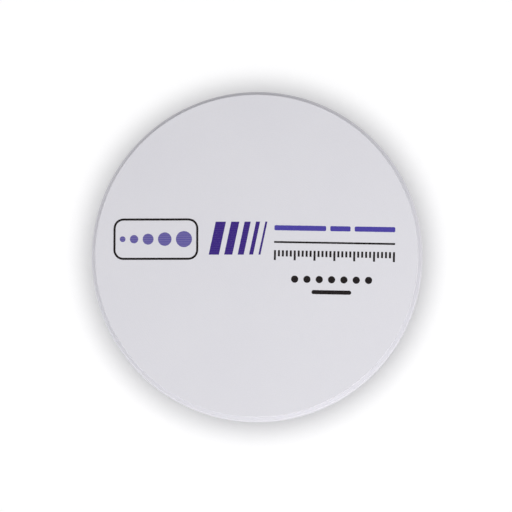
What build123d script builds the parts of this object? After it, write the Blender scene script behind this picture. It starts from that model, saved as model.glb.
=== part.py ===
from build123d import *
import os

# Dental milling disc: a round blank of pressed and pre-sintered zirconia, turned from one piece.
# A collar runs round its middle, where a milling machine's holder takes hold of it. Above and
# below the collar a flat plateau stands clear of the holder, and crowns are cut out of these.
# Millimetres. The origin is the disc's centre, half way up the collar. +Z is the disc's axis
# and points out of the upper face.

# Overall thickness, from the lower face to the upper one
disc_thickness = 20.0

# Collar: the wall that fits the holder's ring, and the broken edges that help it drop in
collar_diameter = 98.5
collar_height = 10.0
collar_chamfer = 0.5

# Seat: the flat ring on each side of the collar, which the holder's ledge and clamp press on
seat_width = 1.75

# Corners left by the turning tool: the broken rim of each face, and the round at its foot
plateau_chamfer = 0.2
foot_radius = 0.2

collar_radius = collar_diameter / 2
plateau_radius = collar_radius - seat_width


def half_section():
    """The section on one side of the axis: the plateaus' block with the collar across it."""
    inner_edge_on_axis = (Align.MIN, Align.CENTER)
    with BuildSketch(Plane.XZ) as section:
        Rectangle(plateau_radius, disc_thickness, align=inner_edge_on_axis)
        Rectangle(collar_radius, collar_height, align=inner_edge_on_axis)
        chamfer(section.vertices().group_by(Axis.X)[-1], collar_chamfer)
        chamfer(plateau_corners(section)[-1], plateau_chamfer)
        fillet(plateau_corners(section)[0], foot_radius)
    return section.sketch


def plateau_corners(section):
    """The corners of the plateaus' wall, in pairs: first at its foot, last at its rim."""
    on_wall = [corner for corner in section.vertices() if abs(corner.X - plateau_radius) < 1e-6]
    return ShapeList(on_wall).group_by(lambda corner: abs(corner.Y))


def milling_disc():
    """The whole blank, turned about the Z axis."""
    return revolve(half_section(), Axis.Z)


os.makedirs("parts", exist_ok=True)
export_step(milling_disc(), "parts/milling_disc.step")
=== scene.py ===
"""Dresses a dental milling disc: its chalky ceramic, the ink on its upper face and a white table.

Laid out as a Blender add-on and run as a script. The settings give their lengths in millimetres, and
Blender keeps them in metres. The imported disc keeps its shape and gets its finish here. The ink is
added as thin raised films.
"""

from math import ceil, cos, pi, radians, sin, tan

import bpy
from bpy.props import FloatProperty, FloatVectorProperty, IntProperty, PointerProperty
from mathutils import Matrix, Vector, noise


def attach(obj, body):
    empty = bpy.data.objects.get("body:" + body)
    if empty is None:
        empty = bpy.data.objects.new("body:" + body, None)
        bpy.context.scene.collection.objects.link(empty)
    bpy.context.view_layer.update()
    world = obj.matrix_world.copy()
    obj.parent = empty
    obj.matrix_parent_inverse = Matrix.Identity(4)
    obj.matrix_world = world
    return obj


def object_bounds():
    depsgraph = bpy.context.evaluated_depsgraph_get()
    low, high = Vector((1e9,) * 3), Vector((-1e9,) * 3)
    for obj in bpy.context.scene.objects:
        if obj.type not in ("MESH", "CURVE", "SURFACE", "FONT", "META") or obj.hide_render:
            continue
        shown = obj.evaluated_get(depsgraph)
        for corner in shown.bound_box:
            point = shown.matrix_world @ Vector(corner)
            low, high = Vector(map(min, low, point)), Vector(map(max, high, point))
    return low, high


bl_info = {
    "name": "Dental Milling Disc",
    "version": (1, 0, 0),
    "blender": (4, 5, 0),
    "location": "3D View > Sidebar > Milling Disc",
    "description": "Dresses a dental milling disc with its ceramic, its printed face and a white table",
    "category": "Object",
}

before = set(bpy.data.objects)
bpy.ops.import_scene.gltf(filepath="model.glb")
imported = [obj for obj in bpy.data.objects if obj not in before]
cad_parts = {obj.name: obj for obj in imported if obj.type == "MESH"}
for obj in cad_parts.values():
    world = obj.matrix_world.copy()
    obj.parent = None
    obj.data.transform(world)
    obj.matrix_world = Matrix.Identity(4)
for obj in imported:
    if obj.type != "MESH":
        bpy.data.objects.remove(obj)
CAD_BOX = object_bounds()

BODY = "root"
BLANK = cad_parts["milling_disc"]
MM = 0.001
FACE_HEIGHT = CAD_BOX[1].z
TABLE_HEIGHT = CAD_BOX[0].z
RIM_RADIUS = CAD_BOX[1].x


def linear(hex_colour, alpha=1.0):
    """An sRGB hex colour as the linear colour that Blender's sockets take."""
    channels = [int(hex_colour[place:place + 2], 16) / 255 for place in (1, 3, 5)]
    return (*[c / 12.92 if c <= 0.04045 else ((c + 0.055) / 1.055) ** 2.4 for c in channels], alpha)


def colour(name, description, hex_colour):
    """A colour setting with its default given in sRGB hex."""
    return FloatVectorProperty(
        name=name, description=description, size=4, min=0.0, max=1.0, subtype="COLOR",
        default=linear(hex_colour),
    )


def length(name, description, millimetres):
    """A length setting with its default given in millimetres."""
    return FloatProperty(
        name=name, description=description, subtype="DISTANCE", unit="LENGTH", precision=5,
        default=millimetres * MM,
    )


def angle(name, description, degrees):
    """An angle setting with its default given in degrees."""
    return FloatProperty(
        name=name, description=description, subtype="ANGLE", unit="ROTATION", default=radians(degrees)
    )


def amount(name, description, default):
    """A plain number, such as a strength or a roughness."""
    return FloatProperty(name=name, description=description, min=0.0, default=default)


def count(name, description, default):
    """How many of a thing there are."""
    return IntProperty(name=name, description=description, min=1, default=default)


class BlankSettings(bpy.types.PropertyGroup):
    """The ceramic of the blank."""

    chalk: colour("Chalk white", "The pressed powder's own cool white", "#DBDADF")
    cloud: colour("Cloud", "The slightly denser patches of the pressing", "#D7D6DC")
    cloud_size: length("Cloud size", "Across one patch of the pressing", 16.0)
    granule: length("Granule", "Across one pressed granule, drawn four times its real size to show", 0.32)
    granule_depth: length("Granule depth", "How deep the granules leave the surface uneven", 0.006)
    tool_feed: length("Tool feed", "Between two turning marks, drawn three times its real size to show", 0.6)
    tool_depth: length("Tool mark depth", "How deep the turning marks are", 0.0016)
    roughness: amount("Roughness", "Of the unfired, open-pored surface", 0.62)
    translucency: amount("Translucency", "How much of the light passes through the surface", 0.12)
    light_depth: length("Light depth", "How far that light wanders under the surface", 0.6)


class PrintSettings(bpy.types.PropertyGroup):
    """The ink on the upper face: plain stripes, bars, dots and a scale."""

    violet: colour("Violet ink", "Full violet, in the stripes", "#361D7A")
    heading: colour("Heading ink", "Middle violet, in the heading's bars", "#463C9C")
    pale_violet: colour("Pale violet ink", "The lightest violet, in the shade dots", "#5A5199")
    dark: colour("Dark ink", "Warm black, in the frame and under the heading on the right", "#1A1415")
    film: length("Film", "How far the ink stands proud of the face", 0.015)
    soak: length("Soak", "How far the ink has soaked into the ceramic", 0.03)
    bleed: length("Bleed", "How far the ink's edge wanders in the pores", 0.03)
    bare: amount("Bare", "How much white shows in the emptiest pores", 0.08)
    band: length("Print band", "The height of one pass of the print head", 0.66)
    banding: amount("Banding", "How much white shows between two passes of the full inks", 0.02)
    pale_banding: amount("Pale banding", "How much white shows between two passes of the pale ink", 0.1)
    slope: angle("Slope", "How far the right-hand print runs down to the right", 1.1)


class StageSettings(bpy.types.PropertyGroup):
    """The white table, the light and the camera."""

    table: colour("Table", "Matte white card", "#FAFAFA")
    table_radius: length("Table radius", "How far the card reaches", 12000.0)
    table_hole: length("Table hole", "The radius of the hole in the card, which the disc covers", 47.0)
    fibre: length("Fibre", "Across one tuft of the card's fibres", 0.8)
    fibre_depth: length("Fibre depth", "How deep the fibres leave the card uneven", 0.02)
    # Painted shadow: the card glows by itself except under and near the disc, so the shadow round the disc
    # is painted, not cast. The mask is set off so that this painted shadow looks even round the disc as the
    # camera sees it
    painted_shadow_glow: amount("Glow", "Light that comes up through the card, away from the disc", 0.41)
    mask: length("Mask", "How far inside the disc's rim the mask under it ends", 2.35)
    painted_shadow_mask_left: length("Mask left", "How far left of the disc's centre the mask lies", 0.3)
    painted_shadow_mask_up: length("Mask up", "How far above the disc's centre the mask lies, as the camera sees it", 0.6)
    painted_shadow_reach: length("Glow reach", "From the mask's edge to where the card glows in full", 13.5)
    sky: colour("Sky", "The light tent round the table", "#FEFEFF")
    sky_strength: amount("Sky strength", "Of the light tent", 0.44)
    key_strength: amount("Key strength", "Of the wide soft box on the disc, in watts", 7.35)
    key_azimuth: angle("Key azimuth", "Where the wide soft box stands, from +X towards +Y", -90.0)
    key_elevation: angle("Key elevation", "How high the wide soft box stands", 55.0)
    key_distance: length("Key distance", "From the disc to the wide soft box", 800.0)
    key_width: length("Key width", "The wide soft box's long side, which lies level", 2400.0)
    key_height: length("Key height", "The wide soft box's short side", 300.0)
    side_strength: amount("Side strength", "Of the small soft box on the disc, in watts", 0.155)
    side_azimuth: angle("Side azimuth", "Where the small soft box stands, from +X towards +Y", -5.0)
    side_elevation: angle("Side elevation", "How high the small soft box stands", 58.0)
    side_distance: length("Side distance", "From the disc to the small soft box", 320.0)
    side_size: length("Side size", "Either side of the small soft box", 160.0)
    wash_strength: amount("Wash strength", "Of the round panel that whitens the table, in watts", 2.6)
    under_strength: amount("Under strength", "Of the round panel that lights the lower face, in watts", 7.0)
    panel_distance: length("Panel distance", "From the disc's centre to either round panel", 900.0)
    panel_spread: angle("Panel spread", "From a panel's middle to its edge, seen from the disc", 40.0)
    camera_distance: length("Camera distance", "From the aim to the camera", 375.0)
    camera_tilt: angle("Camera tilt", "How far the camera leans from straight above", 4.0)
    camera_azimuth: angle("Camera azimuth", "Where the camera leans to, from +X towards +Y", -67.5)
    field: length("Field", "The width of the picture at the upper face", 150.17)
    aim_right: length("Aim right", "How far right of the face's centre the camera aims", -0.03)
    aim_up: length("Aim up", "How far above the face's centre the camera aims", -0.42)


def add_node(material, kind, values=None, wires=None, **settings):
    """Adds a node: its sockets' values, the sockets wired into it, and its own settings."""
    node = material.node_tree.nodes.new(kind)
    for name, value in settings.items():
        setattr(node, name, value)
    for socket, value in (values or {}).items():
        node.inputs[socket].default_value = value
    for socket, source in (wires or {}).items():
        material.node_tree.links.new(source, node.inputs[socket])
    return node


def empty_material(name):
    """A material with no nodes in it yet."""
    material = bpy.data.materials.new(name)
    material.use_nodes = True
    material.node_tree.nodes.clear()
    return material


# The sockets of a Mix node that mixes colours
MIX_A, MIX_B, MIX_RESULT = 6, 7, 2


def pressed_zirconia():
    """Pre-sintered zirconia, pressed from powder and turned.

    It is chalk white and matte, and a little soft at its edges.
    """
    look = bpy.context.scene.milling_disc_blank
    material = empty_material("pressed_zirconia")
    place = add_node(material, "ShaderNodeTexCoord").outputs["Object"]
    # Powder never packs quite evenly, so the white is cloudy by a shade
    clouds = add_node(
        material, "ShaderNodeTexNoise", {"Scale": 1 / look.cloud_size, "Detail": 3.0}, {"Vector": place}
    )
    cloudy = add_node(
        material, "ShaderNodeMix",
        {MIX_A: look.cloud, MIX_B: look.chalk}, {"Factor": clouds.outputs["Fac"]}, data_type="RGBA",
    )
    # Granules give a fine tooth, like unglazed bisque, and are lighter or darker by about a hundredth.
    # They are drawn four times their real size, which wouldn't show
    granules = add_node(
        material, "ShaderNodeTexNoise",
        {"Scale": 1 / look.granule, "Detail": 2.0, "Roughness": 0.6}, {"Vector": place},
    )
    speckle = add_node(
        material, "ShaderNodeMapRange",
        {"From Min": 0.3, "From Max": 0.7, "To Min": 0.985, "To Max": 1.012},
        {"Value": granules.outputs["Fac"]},
    )
    white = add_node(
        material, "ShaderNodeVectorMath", {}, {0: cloudy.outputs[MIX_RESULT], 1: speckle.outputs["Result"]},
        operation="MULTIPLY",
    )
    # The lathe leaves rings on the faces and lines round the walls: both follow radius plus height.
    # They lie three times as far apart as real ones, which wouldn't show
    split = add_node(material, "ShaderNodeSeparateXYZ", {}, {"Vector": place})
    flat = add_node(
        material, "ShaderNodeCombineXYZ", {}, {"X": split.outputs["X"], "Y": split.outputs["Y"]}
    )
    radius = add_node(material, "ShaderNodeVectorMath", {}, {0: flat.outputs["Vector"]}, operation="LENGTH")
    feed = add_node(
        material, "ShaderNodeMath", {}, {0: radius.outputs["Value"], 1: split.outputs["Z"]}, operation="ADD"
    )
    turns = add_node(
        material, "ShaderNodeMath", {1: 2 * pi / look.tool_feed}, {0: feed.outputs["Value"]},
        operation="MULTIPLY",
    )
    marks = add_node(material, "ShaderNodeMath", {}, {0: turns.outputs["Value"]}, operation="SINE")
    tool_marks = add_node(
        material, "ShaderNodeBump", {"Strength": 1.0, "Distance": look.tool_depth},
        {"Height": marks.outputs["Value"]},
    )
    tooth = add_node(
        material, "ShaderNodeBump", {"Strength": 1.0, "Distance": look.granule_depth},
        {"Height": granules.outputs["Fac"], "Normal": tool_marks.outputs["Normal"]},
    )
    # Dense zirconia has an IOR of about 2.15, and the pores bring it down. Red light goes deepest
    shader = add_node(
        material, "ShaderNodeBsdfPrincipled",
        {
            "Roughness": look.roughness,
            "IOR": 1.6,
            "Specular IOR Level": 0.35,
            "Subsurface Weight": look.translucency,
            "Subsurface Radius": (1.0, 0.95, 0.9),
            "Subsurface Scale": look.light_depth,
        },
        {"Base Color": white.outputs["Vector"], "Normal": tooth.outputs["Normal"]},
    )
    add_node(material, "ShaderNodeOutputMaterial", {}, {"Surface": shader.outputs["BSDF"]})
    return material


def printed_ink(name, ink_colour, banding=0.0):
    """Pigment ink jetted on open-pored ceramic.

    It is matte and a little speckled. Banding is how much white shows between two of its passes.
    """
    look = bpy.context.scene.milling_disc_print
    blank = bpy.context.scene.milling_disc_blank
    material = empty_material(name)
    place = add_node(material, "ShaderNodeTexCoord").outputs["Object"]
    # Pores take up less ink, so the white comes through in fine specks
    pores = add_node(
        material, "ShaderNodeTexNoise",
        {"Scale": 1 / blank.granule, "Detail": 3.0, "Roughness": 0.7}, {"Vector": place},
    )
    bare = add_node(
        material, "ShaderNodeMapRange",
        {"From Min": 0.52, "From Max": 0.85, "To Min": 0.0, "To Max": look.bare},
        {"Value": pores.outputs["Fac"]},
    )
    white_share = bare.outputs["Result"]
    if banding:
        # Each pass of the print head is a shade heavier along its middle
        split = add_node(material, "ShaderNodeSeparateXYZ", {}, {"Vector": place})
        passes = add_node(
            material, "ShaderNodeMath", {1: 2 * pi / look.band}, {0: split.outputs["Y"]},
            operation="MULTIPLY",
        )
        swing = add_node(material, "ShaderNodeMath", {}, {0: passes.outputs["Value"]}, operation="SINE")
        lighter = add_node(
            material, "ShaderNodeMapRange",
            {"From Min": -1.0, "From Max": 1.0, "To Min": 0.0, "To Max": banding},
            {"Value": swing.outputs["Value"]},
        )
        both = add_node(
            material, "ShaderNodeMath", {}, {0: white_share, 1: lighter.outputs["Result"]}, operation="ADD"
        )
        white_share = both.outputs["Value"]
    mottled = add_node(
        material, "ShaderNodeMix",
        {MIX_A: ink_colour, MIX_B: blank.chalk}, {"Factor": white_share}, data_type="RGBA",
    )
    tooth = add_node(
        material, "ShaderNodeBump", {"Strength": 1.0, "Distance": blank.granule_depth},
        {"Height": pores.outputs["Fac"]},
    )
    shader = add_node(
        material, "ShaderNodeBsdfPrincipled",
        {"Roughness": 0.7, "IOR": 1.5, "Specular IOR Level": 0.12},
        {"Base Color": mottled.outputs[MIX_RESULT], "Normal": tooth.outputs["Normal"]},
    )
    add_node(material, "ShaderNodeOutputMaterial", {}, {"Surface": shader.outputs["BSDF"]})
    return material


def matte_card_with_painted_shadow():
    """White card: flat and without gloss. Its own glow is held off under and round the disc, which paints a
    soft shadow round the disc.
    """
    look = bpy.context.scene.milling_disc_stage
    material = empty_material("matte_card_with_painted_shadow")
    place = add_node(material, "ShaderNodeTexCoord").outputs["Object"]
    fibres = add_node(
        material, "ShaderNodeTexNoise", {"Scale": 1 / look.fibre, "Detail": 3.0}, {"Vector": place}
    )
    tooth = add_node(
        material, "ShaderNodeBump", {"Strength": 0.3, "Distance": look.fibre_depth},
        {"Height": fibres.outputs["Fac"]},
    )
    # Painted shadow: no glow under the disc, rising to full over the reach outside its rim, so the card is
    # darker round the disc
    from_painted_shadow_mask = add_node(
        material, "ShaderNodeVectorMath", {1: (-look.painted_shadow_mask_left, look.painted_shadow_mask_up, TABLE_HEIGHT)}, {0: place},
        operation="DISTANCE",
    )
    painted_shadow_mask_radius = RIM_RADIUS - look.mask
    painted_shadow_glow = add_node(
        material, "ShaderNodeMapRange",
        {"From Min": painted_shadow_mask_radius, "From Max": painted_shadow_mask_radius + look.painted_shadow_reach, "To Max": look.painted_shadow_glow},
        {"Value": from_painted_shadow_mask.outputs["Value"]}, interpolation_type="SMOOTHSTEP",
    )
    shader = add_node(
        material, "ShaderNodeBsdfPrincipled",
        {
            "Base Color": look.table,
            "Roughness": 0.9,
            "Specular IOR Level": 0.1,
            "Emission Color": (1.0, 1.0, 1.0, 1.0),
        },
        {"Normal": tooth.outputs["Normal"], "Emission Strength": painted_shadow_glow.outputs["Result"]},
    )
    add_node(material, "ShaderNodeOutputMaterial", {}, {"Surface": shader.outputs["BSDF"]})
    return material


# The corners of a bar, from the lower left one round to the right: which side, and which end
CORNERS = ((-1, -1), (1, -1), (1, 1), (-1, 1))


def slanted_bar(centre, width, height, slant=0.0):
    """The corners of a bar, leaning to the right by the slant angle."""
    lean = height / 2 * tan(slant)
    return [
        Vector((centre[0] + side * width / 2 + end * lean, centre[1] + end * height / 2))
        for side, end in CORNERS
    ]


def round_bar(centre, width, height, radius, steps=6):
    """The outline of a bar whose corners are rounded by the radius."""
    outline = []
    for quarter, (side, end) in enumerate(CORNERS):
        corner = Vector((centre[0] + side * (width / 2 - radius), centre[1] + end * (height / 2 - radius)))
        start = pi + quarter * pi / 2
        for step in range(steps + 1):
            turn = start + step / steps * pi / 2
            outline.append(corner + radius * Vector((cos(turn), sin(turn))))
    return outline


def dot(centre, radius, steps=48):
    """The outline of a round dot."""
    turns = [2 * pi * step / steps for step in range(steps)]
    return [Vector((centre[0] + radius * cos(turn), centre[1] + radius * sin(turn))) for turn in turns]


def turned(outline, slope, about):
    """The outline turned clockwise by the slope about a point."""
    return [
        Vector((
            about[0] + (point.x - about[0]) * cos(slope) + (point.y - about[1]) * sin(slope),
            about[1] - (point.x - about[0]) * sin(slope) + (point.y - about[1]) * cos(slope),
        ))
        for point in outline
    ]


# Fixes how the ink's edges wander. Any other whole number above zero gives them another wander
WANDER_SEED = 1


def bled(outline, bleed, spacing=0.25 * MM):
    """The outline with points at an even spacing, each pushed about by the bleed of the ink."""
    spaced = []
    for start, end in zip(outline, outline[1:] + outline[:1]):
        steps = max(1, ceil((end - start).length / spacing))
        spaced += [start.lerp(end, step / steps) for step in range(steps)]
    # The edge wanders one way over about two points. Unseeded, the noise would start from the clock
    noise.seed_set(WANDER_SEED)
    reach = 2 * spacing
    wandering = []
    for point in spaced:
        push = noise.noise_vector((point.x / reach, point.y / reach, 0.0))
        wandering.append(point + bleed * Vector((push.x, push.y)))
    return wandering


def stroked(outline, weight):
    """The outer and the inner edge of a line of the weight, drawn along an outline."""
    outer, inner = [], []
    for before, point, after in zip(outline[-1:] + outline[:-1], outline, outline[1:] + outline[:1]):
        along = (after - before).normalized()
        outwards = Vector((along.y, -along.x)) * weight / 2
        outer.append(point + outwards)
        inner.append(point - outwards)
    return outer, inner


def film_mesh(name, shapes):
    """A mesh of closed ink films. A shape is one outline, or that and the outline of the hole in it."""
    look = bpy.context.scene.milling_disc_print
    top, bottom = FACE_HEIGHT + look.film, FACE_HEIGHT - look.soak
    points, faces = [], []

    def ring(outline, height):
        """Adds an outline's points at a height and gives their numbers."""
        first = len(points)
        points.extend((point.x, point.y, height) for point in outline)
        return list(range(first, first + len(outline)))

    def band(first, second):
        """Joins two rings of as many points by a band of faces."""
        for here, there in zip(range(len(first)), [*range(1, len(first)), 0]):
            faces.append((first[here], first[there], second[there], second[here]))

    for shape in shapes:
        outer = [ring(shape[0], height) for height in (bottom, top)]
        band(outer[0], outer[1])
        if len(shape) == 1:
            faces.append(tuple(outer[1]))
            faces.append(tuple(reversed(outer[0])))
        else:
            inner = [ring(shape[1], height) for height in (bottom, top)]
            band(inner[1], inner[0])
            band(outer[1], inner[1])
            band(inner[0], outer[0])
    mesh = bpy.data.meshes.new(name)
    mesh.from_pydata(points, [], faces)
    mesh.validate()
    return mesh


def lay_ink(name, shapes, ink):
    """Adds one printed group to the upper face and lets it ride with the disc."""
    mesh = film_mesh(name, shapes)
    mesh.materials.append(ink)
    piece = bpy.data.objects.new(name, mesh)
    bpy.context.scene.collection.objects.link(piece)
    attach(piece, BODY)


class MILLINGDISC_OT_blank(bpy.types.Operator):
    """Gives the turned blank its ceramic"""

    bl_idname = "milling_disc.blank"
    bl_label = "Finish the blank"

    def execute(self, context):
        ceramic = pressed_zirconia()
        for slot in BLANK.material_slots:
            slot.material = ceramic
        return {"FINISHED"}


class MILLINGDISC_OT_shade_scale(bpy.types.Operator):
    """Prints a thin frame with a row of shade dots that grow from left to right"""

    bl_idname = "milling_disc.shade_scale"
    bl_label = "Print the shade scale"

    centre: length("Centre", "How far left of the disc's centre the frame stands", 29.5)
    rise: length("Rise", "How far above the disc's centre the frame stands", 4.6)
    width: length("Width", "Of the frame", 24.4)
    height: length("Height", "Of the frame", 11.6)
    corner: length("Corner", "The radius of the frame's corners", 2.6)
    stroke: length("Stroke", "The width of the frame's line", 0.62)
    smallest: length("Smallest dot", "The radius of the first dot", 0.85)
    growth: length("Growth", "How much each dot's radius gains on the last", 0.38)
    gap: length("Gap", "From one dot's edge to the next", 1.3)
    dots: count("Dots", "How many shade dots there are", 5)

    def execute(self, context):
        look = context.scene.milling_disc_print
        middle = Vector((-self.centre, self.rise))
        line = bled(round_bar(middle, self.width, self.height, self.corner), look.bleed)
        dark = printed_ink("dark_ink", look.dark)
        lay_ink("print_frame", [stroked(line, self.stroke)], dark)
        radii = [self.smallest + number * self.growth for number in range(self.dots)]
        row = sum(2 * radius for radius in radii) + self.gap * (self.dots - 1)
        left = middle.x - row / 2
        shapes = []
        for radius in radii:
            shapes.append((bled(dot((left + radius, middle.y), radius), look.bleed),))
            left += 2 * radius + self.gap
        pale = printed_ink("pale_violet_ink", look.pale_violet, look.pale_banding)
        lay_ink("print_shade_dots", shapes, pale)
        return {"FINISHED"}


class MILLINGDISC_OT_stripes(bpy.types.Operator):
    """Prints a row of violet stripes that lean to the right and narrow from one to the next"""

    bl_idname = "milling_disc.stripes"
    bl_label = "Print the stripes"

    centre: length("Centre", "How far left of the disc's centre the stripes stand", 5.3)
    rise: length("Rise", "How far above the disc's centre the stripes stand", 4.85)
    height: length("Height", "Of the stripes", 9.7)
    first_width: length("First width", "Of the broadest stripe", 3.0)
    taper: length("Taper", "How much narrower each stripe is than the last", 0.6)
    gap: length("Gap", "Between two stripes", 1.55)
    slant: angle("Slant", "How far the stripes lean", 12.0)
    stripes: count("Stripes", "How many stripes there are", 5)

    def execute(self, context):
        look = context.scene.milling_disc_print
        widths = [self.first_width - number * self.taper for number in range(self.stripes)]
        left = -self.centre - (sum(widths) + self.gap * (self.stripes - 1)) / 2
        shapes = []
        for width in widths:
            bar = slanted_bar((left + width / 2, self.rise), width, self.height, self.slant)
            shapes.append((bled(bar, look.bleed),))
            left += width + self.gap
        violet = printed_ink("violet_ink", look.violet, look.banding)
        lay_ink("print_stripes", shapes, violet)
        return {"FINISHED"}


# The share of the heading's ink that each of its bars takes, from left to right
HEADING_SHARES = (0.46, 0.18, 0.36)
# How far along the rule the middle of the dots and of the foot bar lies, as a share of its length
MIDDLE_SHARE = 0.48


class MILLINGDISC_OT_right_block(bpy.types.Operator):
    """Prints the right-hand block: heading bars, a rule, a scale of ticks, a row of dots and a foot bar"""

    bl_idname = "milling_disc.right_block"
    bl_label = "Print the right-hand block"

    left: length("Left", "Where the block starts, right of the disc's centre", 5.3)
    width: length("Width", "Of the heading, the rule and the scale", 35.4)
    heading_rise: length("Heading rise", "The middle of the heading's bars above the disc's centre", 7.9)
    heading_height: length("Heading height", "Of the heading's bars", 1.5)
    heading_corner: length("Heading corner", "The radius of the bars' corners", 0.375)
    heading_gap: length("Heading gap", "Between two of the heading's bars", 1.2)
    rule_rise: length("Rule rise", "The rule above the disc's centre", 3.7)
    rule_weight: length("Rule weight", "The width of the rule's line", 0.54)
    tick_rise: length("Tick rise", "The top of the ticks above the disc's centre", 1.3)
    tick_pitch: length("Tick pitch", "From one tick to the next", 1.16)
    tick_group: count("Tick group", "How many ticks on from a long tick the next long one stands", 5)
    tick_weight: length("Tick weight", "The width of a tick", 0.6)
    tick_short: length("Short tick", "The length of most ticks", 1.8)
    tick_long: length("Long tick", "The length of the first tick in each group", 2.9)
    dots: count("Dots", "How many dark dots there are", 7)
    dots_rise: length("Dots rise", "The row of dots below the disc's centre", 7.1)
    dot_radius: length("Dot radius", "Of each dark dot", 1.05)
    dot_pitch: length("Dot pitch", "From one dark dot to the next", 3.6)
    foot_rise: length("Foot rise", "The foot bar below the disc's centre", 10.8)
    foot_width: length("Foot width", "Of the foot bar", 11.6)
    foot_height: length("Foot height", "Of the foot bar, whose ends are round", 1.2)

    def execute(self, context):
        look = context.scene.milling_disc_print
        rule_start = (self.left, self.rule_rise)

        def printed(outline):
            """One shape of the block, sloped as the block is and bled into the ceramic."""
            return (bled(turned(outline, look.slope, rule_start), look.bleed),)

        heading = printed_ink("heading_ink", look.heading, look.banding)
        inked = self.width - self.heading_gap * (len(HEADING_SHARES) - 1)
        start, bars = self.left, []
        for share in HEADING_SHARES:
            width = share * inked
            middle = (start + width / 2, self.heading_rise)
            bars.append(printed(round_bar(middle, width, self.heading_height, self.heading_corner)))
            start += width + self.heading_gap
        lay_ink("print_heading_bars", bars, heading)

        dark = printed_ink("rule_ink", look.dark)
        rule = slanted_bar((self.left + self.width / 2, self.rule_rise), self.width, self.rule_weight)
        lay_ink("print_rule", [printed(rule)], dark)

        ticks = []
        for number in range(int(self.width / self.tick_pitch) + 1):
            tall = self.tick_long if number % self.tick_group == 0 else self.tick_short
            across = self.left + self.tick_weight / 2 + number * self.tick_pitch
            middle = (across, self.tick_rise - tall / 2)
            ticks.append(printed(slanted_bar(middle, self.tick_weight, tall)))
        lay_ink("print_scale_ticks", ticks, dark)

        centre = self.left + MIDDLE_SHARE * self.width
        dots = []
        for number in range(self.dots):
            across = centre + (number - (self.dots - 1) / 2) * self.dot_pitch
            dots.append(printed(dot((across, -self.dots_rise), self.dot_radius)))
        lay_ink("print_dots", dots, dark)

        foot = round_bar((centre, -self.foot_rise), self.foot_width, self.foot_height, self.foot_height / 2)
        lay_ink("print_foot_bar", [printed(foot)], dark)
        return {"FINISHED"}


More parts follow.
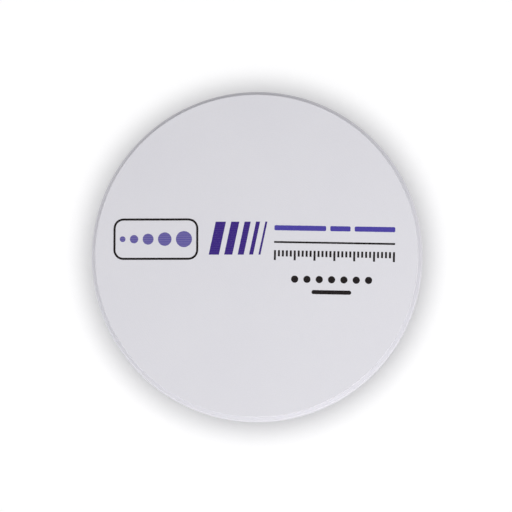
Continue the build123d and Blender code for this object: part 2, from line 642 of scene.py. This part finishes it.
class MILLINGDISC_OT_stage(bpy.types.Operator):
    """Sets up the white table, the light tent, the soft boxes, the round panels and the camera"""

    bl_idname = "milling_disc.stage"
    bl_label = "Set the stage"

    def execute(self, context):
        look = context.scene.milling_disc_stage
        table = self.lay_table(look)
        self.pitch_tent(context.scene, look)
        self.hang_box(
            "key_box", look.key_width, look.key_height, look.key_strength,
            look.key_azimuth, look.key_elevation, look.key_distance, table,
        )
        self.hang_box(
            "side_box", look.side_size, look.side_size, look.side_strength,
            look.side_azimuth, look.side_elevation, look.side_distance, table,
        )
        # The wash keeps the disc's shadow close to it, and the under panel shines through the card's hole
        self.hang_panel(
            "wash_panel", look.panel_distance, look.panel_spread, look.wash_strength, table, "INCLUDE"
        )
        self.hang_panel(
            "under_panel", -look.panel_distance, look.panel_spread, look.under_strength, table, "EXCLUDE"
        )
        self.place_camera(context.scene, look)
        context.scene.view_settings.view_transform = "Standard"
        return {"FINISHED"}

    def lay_table(self, look, steps=128):
        """A round card that the disc lies on, with a hole that shows the disc's lower face from below."""
        outline = dot((0.0, 0.0), look.table_hole, steps) + dot((0.0, 0.0), look.table_radius, steps)
        faces = []
        for here in range(steps):
            there = (here + 1) % steps
            faces.append((here, steps + here, steps + there, there))
        mesh = bpy.data.meshes.new("table")
        mesh.from_pydata([(point.x, point.y, TABLE_HEIGHT) for point in outline], [], faces)
        mesh.materials.append(matte_card_with_painted_shadow())
        table = bpy.data.objects.new("table", mesh)
        bpy.context.scene.collection.objects.link(table)
        return table

    def pitch_tent(self, scene, look):
        """Even light from all round."""
        world = bpy.data.worlds.new("light_tent")
        world.use_nodes = True
        background = world.node_tree.nodes["Background"]
        background.inputs["Color"].default_value = look.sky
        background.inputs["Strength"].default_value = look.sky_strength
        scene.world = world

    def hang_box(self, name, width, height, strength, azimuth, elevation, distance, table):
        """A soft box that lights the disc from one side and leaves the table to the wash."""
        box = bpy.data.lights.new(name, "AREA")
        box.shape = "RECTANGLE"
        box.size = width
        box.size_y = height
        box.energy = strength
        towards = Vector((cos(elevation) * cos(azimuth), cos(elevation) * sin(azimuth), sin(elevation)))
        self.hang(box, towards * distance, table, "EXCLUDE")

    def hang_panel(self, name, height, spread, strength, table, table_state):
        """A round panel straight above the disc, or straight below it where the height is negative."""
        panel = bpy.data.lights.new(name, "AREA")
        panel.shape = "DISK"
        panel.size = 2 * abs(height) * tan(spread)
        panel.energy = strength
        self.hang(panel, Vector((0.0, 0.0, height)), table, table_state)

    def hang(self, light, place, table, table_state):
        """Hangs a light that faces the disc, and lights only the table or everything but the table."""
        lamp = bpy.data.objects.new(light.name, light)
        lamp.location = place
        lamp.rotation_euler = place.to_track_quat("Z", "Y").to_euler()
        bpy.context.scene.collection.objects.link(lamp)
        lit = bpy.data.collections.new(light.name + "_on_table")
        lit.objects.link(table)
        lit.collection_objects[0].light_linking.link_state = table_state
        lamp.light_linking.receiver_collection = lit

    def place_camera(self, scene, look):
        """Almost straight above, leaning towards the near right, as the photograph is taken."""
        back = Vector((
            sin(look.camera_tilt) * cos(look.camera_azimuth),
            sin(look.camera_tilt) * sin(look.camera_azimuth),
            cos(look.camera_tilt),
        ))
        up = (Vector((0.0, 1.0, 0.0)) - back * back.y).normalized()
        right = up.cross(back)
        # A full-frame sensor, in millimetres. The lens sees from 10 mm off to past the edge of the card
        data = bpy.data.cameras.new("camera")
        data.sensor_width = 36.0
        data.lens = data.sensor_width * look.camera_distance / look.field
        data.clip_start = 0.01
        data.clip_end = 20.0
        camera = bpy.data.objects.new("camera", data)
        face_centre = Vector((0.0, 0.0, FACE_HEIGHT))
        turn = camera.matrix_world.to_3x3()
        turn.col[0], turn.col[1], turn.col[2] = right, up, back
        camera.matrix_world = turn.to_4x4()
        aim = face_centre + right * look.aim_right + up * look.aim_up
        camera.location = aim + back * look.camera_distance
        scene.collection.objects.link(camera)
        scene.camera = camera


OPERATORS = (
    MILLINGDISC_OT_blank,
    MILLINGDISC_OT_shade_scale,
    MILLINGDISC_OT_stripes,
    MILLINGDISC_OT_right_block,
    MILLINGDISC_OT_stage,
)


class MILLINGDISC_PT_sidebar(bpy.types.Panel):
    """Lists the steps that dress the disc"""

    bl_idname = "MILLINGDISC_PT_sidebar"
    bl_label = "Milling Disc"
    bl_space_type = "VIEW_3D"
    bl_region_type = "UI"
    bl_category = "Milling Disc"

    def draw(self, context):
        for operator in OPERATORS:
            self.layout.operator(operator.bl_idname)


SETTINGS = {
    "milling_disc_blank": BlankSettings,
    "milling_disc_print": PrintSettings,
    "milling_disc_stage": StageSettings,
}
CLASSES = (*SETTINGS.values(), *OPERATORS, MILLINGDISC_PT_sidebar)


def register():
    """Registers the classes and puts the settings on the scene."""
    for one in CLASSES:
        bpy.utils.register_class(one)
    for name, group in SETTINGS.items():
        setattr(bpy.types.Scene, name, PointerProperty(type=group))


def unregister():
    """Takes the settings off the scene and the classes out again."""
    for name in SETTINGS:
        delattr(bpy.types.Scene, name)
    for one in reversed(CLASSES):
        bpy.utils.unregister_class(one)


def main():
    register()
    bpy.ops.milling_disc.blank()
    bpy.ops.milling_disc.shade_scale()
    bpy.ops.milling_disc.stripes()
    bpy.ops.milling_disc.right_block()
    bpy.ops.milling_disc.stage()


if __name__ == "__main__":
    main()
